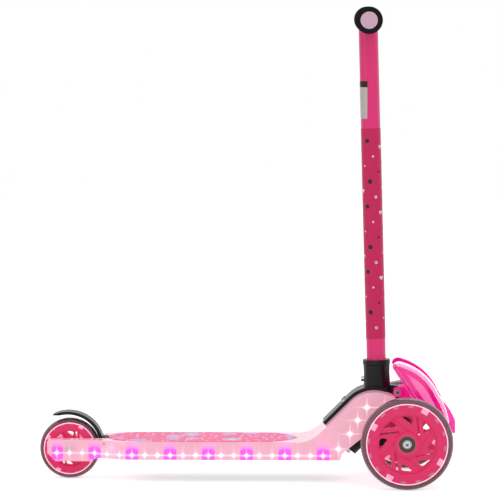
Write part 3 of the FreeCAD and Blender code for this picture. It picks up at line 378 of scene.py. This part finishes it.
def spun(bm, profile, centre, axis=Vector((0, 1, 0)), steps=96, index=0):
    """Turns a closed outline of (radius, place along the axis), in metres, about an axis through centre."""
    side = axis.orthogonal().normalized()
    verts = [bm.verts.new(centre + side * r + axis * a) for r, a in profile]
    edges = [bm.edges.new((verts[i], verts[(i + 1) % len(verts)])) for i in range(len(verts))]
    before = set(bm.faces)
    bmesh.ops.spin(bm, geom=verts + edges, cent=centre, axis=axis, angle=2 * math.pi, steps=steps,
                   use_merge=True)
    for face in set(bm.faces) - before:
        face.material_index = index


def rounded(points, radius, steps=4):
    """An outline with every corner rounded, or as much as its sides allow."""
    out = []
    count = len(points)
    for k in range(count):
        a, b, c = (Vector(points[(k + j) % count]) for j in (-1, 0, 1))
        reach = min(radius, (a - b).length * 0.45, (c - b).length * 0.45)
        p, q = b + (a - b).normalized() * reach, b + (c - b).normalized() * reach
        out += [tuple(p * (1 - t) ** 2 + b * 2 * t * (1 - t) + q * t ** 2)
                for t in (i / steps for i in range(steps + 1))]
    return out


def flat_outline(node, y):
    """The (x, z) corners of a CAD node's flat face at that y, in order round it."""
    bm = bmesh.new()
    bm.from_mesh(node.data)
    bmesh.ops.remove_doubles(bm, verts=bm.verts, dist=1e-6)
    face_edges = {}
    for face in bm.faces:
        if all(abs(v.co.y - y) < 1e-5 for v in face.verts):
            for edge in face.edges:
                face_edges[edge] = face_edges.get(edge, 0) + 1
    rim = [e for e, uses in face_edges.items() if uses == 1]
    follow = {}
    for edge in rim:
        for v in edge.verts:
            follow.setdefault(v, []).append(edge.other_vert(v))
    start = min(follow, key=lambda v: (v.co.x, v.co.z))
    path, last = [start], None
    while True:
        here = path[-1]
        after = next(v for v in follow[here] if v is not last)
        if after is start:
            break
        path.append(after)
        last = here
    out = [(v.co.x, v.co.z) for v in path]
    bm.free()
    area = sum(out[i][0] * out[i - 1][1] - out[i - 1][0] * out[i][1] for i in range(len(out)))
    return out if area < 0 else out[::-1]


def shrunk(path, inset):
    """A counter-clockwise outline moved inward, with its corners kept from running past each other."""
    if inset == 0:
        return list(path)
    out = []
    count = len(path)
    for k in range(count):
        a, b, c = (Vector(path[(k + j) % count]) for j in (-1, 0, 1))
        first, second = (b - a).normalized(), (c - b).normalized()
        left = Vector((-first.y, first.x)) + Vector((-second.y, second.x))
        out.append(tuple(b + left.normalized() * inset * min(1.3, 2 / max(left.length, 0.7))))
    return out


def seen(tree):
    """1 where a ray is on its way to the eye, straight or by gloss or glass, and 0 where it carries light."""
    ray = add_node(tree, "ShaderNodeLightPath")
    straight = math_node(tree, "MAXIMUM", ray.outputs["Is Camera Ray"], ray.outputs["Is Glossy Ray"])
    return math_node(tree, "MAXIMUM", straight, ray.outputs["Is Transmission Ray"])


class ScooterOperator:
    """Shared settings of the scooter's operators."""

    bl_options = {"REGISTER", "UNDO"}


class SCOOTER_OT_frame_finish(ScooterOperator, bpy.types.Operator):
    """Give every carried-over CAD piece its material and soften its moulded edges"""

    bl_idname = "scooter.frame_finish"
    bl_label = "Finish the frame"

    def execute(self, context):
        looks = finishes()
        moulded = ("deck_shell", "steering_head", "truck_body", "brake_lever", "fairing_shell", "battery_door",
                   "deck_base_plate", "bar_plugs", "light_button", "stem_tube", "crossbar")
        for entry in frame["record"]["subparts"]:
            node = frame["nodes"][entry["node"]]
            node.data.materials.clear()
            node.data.materials.append(looks[entry["material_slot"]])
            if entry["node"] in moulded or entry["node"].endswith("wheel_core"):
                bevel = node.modifiers.new("Edge", "BEVEL")
                bevel.width = sizes().edge if entry["node"] in ("deck_shell", "brake_lever") else sizes().edge / 3
                bevel.segments = 3
                bevel.limit_method = "ANGLE"
                bevel.angle_limit = math.radians(40)
                bevel.harden_normals = False
        return {"FINISHED"}


class SCOOTER_OT_tyres(ScooterOperator, bpy.types.Operator):
    """Model the clear tyres with a rounded crown, and a thin glowing white ring where each meets its band, which
    is a painted highlight
    """

    bl_idname = "scooter.tyres"
    bl_label = "Model the tyres"

    def execute(self, context):
        looks = finishes()
        # painted highlight: a thin glowing white ring in each tyre
        bright = surface("tyre_painted_highlight", linear("#ffe6f3"), 0.2, Transmission_Weight=0.3,
                         Emission_Color=linear("#ffd9ee"), Emission_Strength=0.3)
        for name in WHEELS:
            node = name + "_wheel_tyre"
            low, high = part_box(node)
            centre = middle(node)
            radius = centre.z - low[2]
            half = (high[1] - low[1]) / 2
            band = (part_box(name + "_wheel_band")[1][2] - centre.z)
            crown = [(radius * 1.0 - 0.9 * (1 - math.cos(t)) * (radius - band), half * math.sin(t))
                     for t in (math.radians(a) for a in range(-72, 73, 12))]
            outline = [(band, half - 4.5 * MM), (band, -half + 4.5 * MM), (band - 1.5 * MM, -half + 3 * MM),
                       (band + 0.2 * MM, -half + 0.9 * MM)] + crown + [
                       (band + 0.2 * MM, half - 0.9 * MM), (band - 1.5 * MM, half - 3 * MM)]
            bm = bmesh.new()
            spun(bm, outline, centre, steps=192)
            finish_piece(name + "_tyre_clear", bm, [looks["clear_tyre"]], name, [node])
            bm = bmesh.new()
            for side in (-1, 1):
                face = side * (half - 2.9 * MM)
                spun(bm, [(band - 2.9 * MM, face), (band - 1.6 * MM, face),
                          (band - 1.6 * MM, face + side * 0.25 * MM), (band - 2.9 * MM, face + side * 0.25 * MM)],
                     centre)
            finish_piece(name + "_highlight_paint", bm, [bright], name)
        return {"FINISHED"}


class SCOOTER_OT_wheel_details(ScooterOperator, bpy.types.Operator):
    """Add the windows of the lit bands, the bearing shields, and dark crosses of painted shadow for the recesses
    in the driven heads of the axle bolts
    """

    bl_idname = "scooter.wheel_details"
    bl_label = "Add wheel details"

    def execute(self, context):
        # the windows carry a faint painted glow
        window = surface("band_window", linear("#d9a3a8"), 0.2, Transmission_Weight=0.5,
                         Emission_Color=linear("#ffd0d8"), Emission_Strength=0.08)
        module = surface("lamp_module", linear("#e9b9cf"), 0.2, Transmission_Weight=0.5,
                         Emission_Color=linear("#ffd0ea"), Emission_Strength=0.35)
        shield = surface("bearing_shield", colour("shield"), 0.4, Metallic=0.7)
        dark = surface("recess_shadow", linear("#2b2c30"), 0.5)
        for name in WHEELS:
            centre = middle(name + "_wheel_tyre")
            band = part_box(name + "_wheel_band")[1][2] - centre.z
            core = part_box(name + "_wheel_core")[1][2] - centre.z
            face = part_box(name + "_wheel_band")[1][1] - centre.y
            bm = bmesh.new()
            for side in (-1, 1):
                for k in range(16):
                    turn = Matrix.Rotation(k * math.pi / 8 + math.radians(28), 4, "Y")
                    lamp = k % 4 == 0
                    reach = (band - core) * (0.4 if lamp else 0.13)
                    width = (9 if lamp else 6.4) * MM * (band / 0.0545) / 2
                    spot_at = (band + core) / 2 + (0 if lamp else 0.2 * MM)
                    place = Matrix.Translation(centre) @ turn @ Matrix.Translation((spot_at, side * face, 0))
                    before = set(bm.faces)
                    bmesh.ops.create_cube(bm, size=1, matrix=place @ Matrix.Diagonal(
                        (2 * reach, 0.5 * MM, 2 * width, 1)))
                    for one in set(bm.faces) - before:
                        one.material_index = 1 if lamp else 0
            finish_piece(name + "_band_windows", bm, [window, module], name)
            bm = bmesh.new()
            for side in (-1, 1):
                out = side * 8.7 * MM
                spun(bm, rounded([(5.9 * MM, out), (10.9 * MM, out), (10.9 * MM, out + side * 0.4 * MM),
                                  (5.9 * MM, out + side * 0.4 * MM)], 0.1 * MM, 2), centre, steps=64)
            finish_piece(name + "_bearing_shields", bm, [shield], name)
        # dark crosses on the axle bolts' heads: painted shadow for their drive recesses
        bm = bmesh.new()
        low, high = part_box("front_axle_bolts")
        hub = middle("front_left_wheel_tyre")
        for y in (low[1], high[1]):
            head = Vector((hub.x, y, hub.z))
            for turn in (45, 135):
                place = Matrix.Translation(head) @ Matrix.Rotation(math.radians(turn), 4, "Y")
                bmesh.ops.create_cube(
                    bm, size=1, matrix=place @ Matrix.Diagonal((4.6 * MM, 0.16 * MM, 1.3 * MM, 1)))
        finish_piece("axle_bolt_cross_shadows", bm, [dark], "truck")
        return {"FINISHED"}


class SCOOTER_OT_grips(ScooterOperator, bpy.types.Operator):
    """Model the two ribbed rubber grips with their end flanges"""

    bl_idname = "scooter.grips"
    bl_label = "Model the grips"

    def execute(self, context):
        rubber = finishes()["grip_rubber"]
        for name, side in (("left", 1), ("right", -1)):
            node = "grip_" + name
            low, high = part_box(node)
            centre = middle(node)
            flange = centre.z - low[2]
            half = (high[1] - low[1]) / 2
            base = flange - 2.4 * MM
            outline = [(11.12 * MM, -half), (flange, -half), (flange, -half + 3 * MM), (base, -half + 5 * MM)]
            run = 2 * half - 12 * MM
            for k in range(sizes().grip_ribs):
                start = -half + 6 * MM + run * k / sizes().grip_ribs
                step = run / sizes().grip_ribs
                for share, rise in ((0.1, 0), (0.3, 1), (0.6, 1), (0.8, 0)):
                    outline.append((base + rise * sizes().rib_height, start + share * step))
            outline += [(base, half - 5 * MM), (flange, half - 3 * MM), (flange, half), (11.12 * MM, half)]
            bm = bmesh.new()
            spun(bm, rounded(outline, 0.5 * MM, 3), centre, steps=72)
            finish_piece(node + "_ribbed", bm, [rubber], "deck", [node])
        return {"FINISHED"}


class SCOOTER_OT_stem_print(ScooterOperator, bpy.types.Operator):
    """Print dots and small hearts on the stem's wrap"""

    bl_idname = "scooter.stem_print"
    bl_label = "Print the stem"

    def execute(self, context):
        white = surface("white_ink", linear("#f8dce6"), 0.4)
        black = surface("black_ink", linear("#2a1420"), 0.4)
        low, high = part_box("stem_wrap")
        radius = (high[1] - low[1]) / 2 + sizes().print_lift
        foot = Vector((high[0] - radius, 0, low[2]))
        top = Vector((low[0] + radius, 0, high[2]))
        up = (top - foot).normalized()
        front = Vector((0, 1, 0)).cross(up).normalized()
        side = Vector((0, 1, 0))
        length = (top - foot).length
        bm = bmesh.new()
        count = int((length - 14 * MM) / sizes().dot_pitch)
        for k in range(count):
            rise = 7 * MM + k * sizes().dot_pitch
            turn = k * 2.39996
            kind = k % 7
            size = (3.1, 1.4, 2.0, 1.5, 3.5, 1.3, 2.9)[kind] * MM
            heart = kind == 4
            ring = []
            for j in range(20):
                t = 2 * math.pi * j / 20
                if heart:
                    u = 16 * math.sin(t) ** 3 / 17
                    v = (13 * math.cos(t) - 5 * math.cos(2 * t) - 2 * math.cos(3 * t) - math.cos(4 * t)) / 17
                else:
                    u, v = math.cos(t), math.sin(t)
                bend = turn + u * size / radius
                ring.append(foot + up * (rise + v * size) + radius * (
                    front * math.cos(bend) + side * math.sin(bend)))
            face = bm.faces.new([bm.verts.new(p) for p in ring])
            face.material_index = 1 if kind in (0, 3, 6) else 0
        bmesh.ops.triangulate(bm, faces=bm.faces)
        finish_piece("stem_print_marks", bm, [white, black], "deck", smooth=False)
        return {"FINISHED"}


class SCOOTER_OT_fairing(ScooterOperator, bpy.types.Operator):
    """Model the two petals with a magenta wall and a clear raised rim, all with a painted glow"""

    bl_idname = "scooter.fairing"
    bl_label = "Model the fairing"

    def execute(self, context):
        # the wall, face and rim each carry a painted glow in their own tint
        wall = surface("petal_wall", linear("#d80f8c"), 0.15, Transmission_Weight=0.3, Coat_Weight=0.5,
                       Emission_Color=linear("#d80f8c"), Emission_Strength=0.35)
        inner = surface("petal_face", linear("#f04fb9"), 0.18, Transmission_Weight=0.3, Coat_Weight=0.3,
                        Emission_Strength=0.4)
        tree = inner.node_tree
        split = add_node(tree, "ShaderNodeSeparateXYZ", None, {
            "Vector": add_node(tree, "ShaderNodeTexCoord").outputs["Object"]})
        # the face's tint runs from deep magenta at the back to pale pink at the front and top, and feeds both its
        # colour and its painted glow
        ahead = math_node(tree, "ADD", split.outputs[0], math_node(tree, "MULTIPLY", split.outputs[2], 0.62))
        share = add_node(tree, "ShaderNodeMapRange", None,
                         {0: ahead, "From Min": 0.268, "From Max": 0.33}).outputs[0]
        tint = add_node(tree, "ShaderNodeMix", {"data_type": "RGBA"},
                        {0: share, 6: linear("#dc1694"), 7: linear("#f79ad2")}).outputs[2]
        for key in ("Base Color", "Emission Color"):
            tree.links.new(tint, tree.nodes["Principled BSDF"].inputs[key])
        rim = surface("petal_rim", colour("rim"), 0.12, Transmission_Weight=0.5, Coat_Weight=0.6,
                      Emission_Color=colour("rim"), Emission_Strength=0.35)
        for name, side in (("left", 1), ("right", -1)):
            cad = "fairing_lobe_" + name
            low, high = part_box(cad)
            flat, inside = sorted((abs(low[1]), abs(high[1])), reverse=True)
            path = rounded(flat_outline(frame["nodes"][cad], side * flat), 2.5 * MM, 3)
            edge = 3.2 * MM
            bends = [math.radians(a) for a in (0, 22, 45, 68, 90)]
            rim_width = sizes().rim_width
            levels = [(inside, 0, 2)]
            levels += [(flat - edge * (1 - math.sin(t)), edge * (1 - math.cos(t)), 2) for t in bends]
            levels += [(flat, edge + rim_width * 0.3, 2), (flat - 0.9 * MM, edge + rim_width * 0.45, 0),
                       (flat - 1.3 * MM, edge + rim_width * 1.9, 1)]
            bm = bmesh.new()
            rows = [[bm.verts.new((x, side * y, z)) for x, z in shrunk(path, inset)]
                    for y, inset, _ in levels]
            for k in range(len(rows) - 1):
                for j in range(len(path)):
                    i = (j + 1) % len(path)
                    face = bm.faces.new((rows[k][j], rows[k][i], rows[k + 1][i], rows[k + 1][j]))
                    outward = path[i][1] - path[j][1] - 0.6 * (path[i][0] - path[j][0])
                    face.material_index = levels[k][2] if outward > 0 and k + 2 < len(rows) else 0
            bm.faces.new(rows[-1]).material_index = 1
            bm.faces.new(rows[0]).material_index = 0
            bmesh.ops.triangulate(bm, faces=[f for f in bm.faces if len(f.verts) > 4])
            finish_piece("petal_" + name, bm, [wall, inner, rim], "deck", [cad])
        return {"FINISHED"}


class SCOOTER_OT_snap_leaf(ScooterOperator, bpy.types.Operator):
    """Model the bent leaf behind the snap button, from the CAD snap spring"""

    bl_idname = "scooter.snap_leaf"
    bl_label = "Model the snap leaf"

    def execute(self, context):
        bm = bmesh.new()
        bm.from_mesh(frame["nodes"]["snap_spring"].data)
        bmesh.ops.remove_doubles(bm, verts=bm.verts, dist=1e-6)
        leaf = finish_piece("snap_leaf", bm, [finishes()["spring_steel"]], "deck", ["snap_spring"])
        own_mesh(leaf)
        return {"FINISHED"}


class SCOOTER_OT_screw_heads(ScooterOperator, bpy.types.Operator):
    """Add a dark cross of painted shadow for the cross recess of the fairing's screw, and the screw's washer ring
    """

    bl_idname = "scooter.screw_heads"
    bl_label = "Add screw heads"

    def execute(self, context):
        looks = finishes()
        dark = surface("recess_shadow", linear("#2b2c30"), 0.5)
        low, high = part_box("fairing_screw")
        centre = middle("fairing_screw")
        # painted shadow: a dark cross where the screw's cross recess is
        bm = bmesh.new()
        for turn in (20, 110):
            place = Matrix.Translation((centre.x, low[1], centre.z)) @ Matrix.Rotation(math.radians(turn), 4, "Y")
            bmesh.ops.create_cube(bm, size=1, matrix=place @ Matrix.Diagonal((4 * MM, 0.16 * MM, 1.1 * MM, 1)))
        finish_piece("fairing_screw_cross_shadow", bm, [dark], "deck")
        bm = bmesh.new()
        spun(bm, rounded([(4.4 * MM, -10.6 * MM), (6.1 * MM, -10.6 * MM), (6.1 * MM, -11.8 * MM),
                          (4.4 * MM, -11.8 * MM)], 0.3 * MM), Vector((centre.x, 0, centre.z)), steps=48)
        finish_piece("fairing_screw_ring", bm, [looks["fairing_plastic"]], "deck")
        return {"FINISHED"}


class SCOOTER_OT_stage(ScooterOperator, bpy.types.Operator):
    """Set the floor, the studio light and the camera"""

    bl_idname = "scooter.stage"
    bl_label = "Set the stage"

    def execute(self, context):
        scene = context.scene
        white = surface("studio_white", linear("#ffffff"), 0.9, Emission_Color=linear("#ffffff"))
        shader = white.node_tree.nodes["Principled BSDF"]
        shown = math_node(white.node_tree, "MULTIPLY", seen(white.node_tree), 0.62)
        white.node_tree.links.new(shown, shader.inputs["Emission Strength"])
        bm = bmesh.new()
        bmesh.ops.create_grid(bm, x_segments=1, y_segments=1, size=6)
        mesh = bpy.data.meshes.new("studio_floor")
        bm.to_mesh(mesh)
        bm.free()
        mesh.materials.append(white)
        floor = bpy.data.objects.new("studio_floor", mesh)
        scene.collection.objects.link(floor)
        world = bpy.data.worlds.new("studio")
        scene.world = world
        world.use_nodes = True
        tree = world.node_tree
        level = math_node(tree, "MULTIPLY_ADD", seen(tree), 0.5, 0.5)
        back = tree.nodes["Background"]
        back.inputs["Color"].default_value = linear("#ffffff")
        tree.links.new(level, back.inputs["Strength"])
        for label, place, power, size in (("key", (0.9, -1.7, 1.9), 12, 1.2), ("fill", (-1.5, -1.3, 1.0), 4, 1.4),
                                          ("back", (0.2, 1.6, 1.6), 6, 1.2)):
            light = bpy.data.lights.new(label, "AREA")
            light.energy = power
            light.size = size
            lamp = bpy.data.objects.new(label, light)
            lamp.location = place
            aim = Vector((0, 0, 0.2)) - Vector(place)
            lamp.rotation_euler = aim.to_track_quat("-Z", "Y").to_euler()
            scene.collection.objects.link(lamp)
        azimuth, elevation, distance = math.radians(1.47), math.radians(4.34), 4.219
        target = Vector((0.004, 0, 0.3031))
        away = Vector((math.sin(azimuth) * math.cos(elevation), -math.cos(azimuth) * math.cos(elevation),
                       math.sin(elevation)))
        camera = bpy.data.cameras.new("camera")
        camera.lens = 230.4
        camera.sensor_width = 36
        eye = bpy.data.objects.new("camera", camera)
        eye.location = target + away * distance
        eye.rotation_euler = (-away).to_track_quat("-Z", "Y").to_euler()
        scene.collection.objects.link(eye)
        scene.camera = eye
        scene.view_settings.view_transform = "Standard"
        return {"FINISHED"}


class SCOOTER_PT_panel(bpy.types.Panel):
    """The scooter's sidebar panel"""

    bl_idname = "SCOOTER_PT_panel"
    bl_label = "Kick scooter"
    bl_space_type = "VIEW_3D"
    bl_region_type = "UI"
    bl_category = "Scooter"

    def draw(self, context):
        for settings in (context.scene.scooter_sizes, context.scene.scooter_colours):
            for key in settings.__annotations__:
                self.layout.prop(settings, key)
        for step in STEPS:
            self.layout.operator(step.bl_idname)


STEPS = (
    SCOOTER_OT_frame_finish,
    SCOOTER_OT_tyres,
    SCOOTER_OT_wheel_details,
    SCOOTER_OT_grips,
    SCOOTER_OT_stem_print,
    SCOOTER_OT_fairing,
    SCOOTER_OT_snap_leaf,
    SCOOTER_OT_screw_heads,
    SCOOTER_OT_stage,
)
CLASSES = (ScooterSizes, ScooterColours, *STEPS, SCOOTER_PT_panel)


def register():
    for each in CLASSES:
        bpy.utils.register_class(each)
    bpy.types.Scene.scooter_sizes = bpy.props.PointerProperty(type=ScooterSizes)
    bpy.types.Scene.scooter_colours = bpy.props.PointerProperty(type=ScooterColours)


def unregister():
    del bpy.types.Scene.scooter_colours
    del bpy.types.Scene.scooter_sizes
    for each in reversed(CLASSES):
        bpy.utils.unregister_class(each)


def main():
    register()
    for step in STEPS:
        group, name = step.bl_idname.split(".")
        getattr(getattr(bpy.ops, group), name)()


if __name__ == "__main__":
    main()
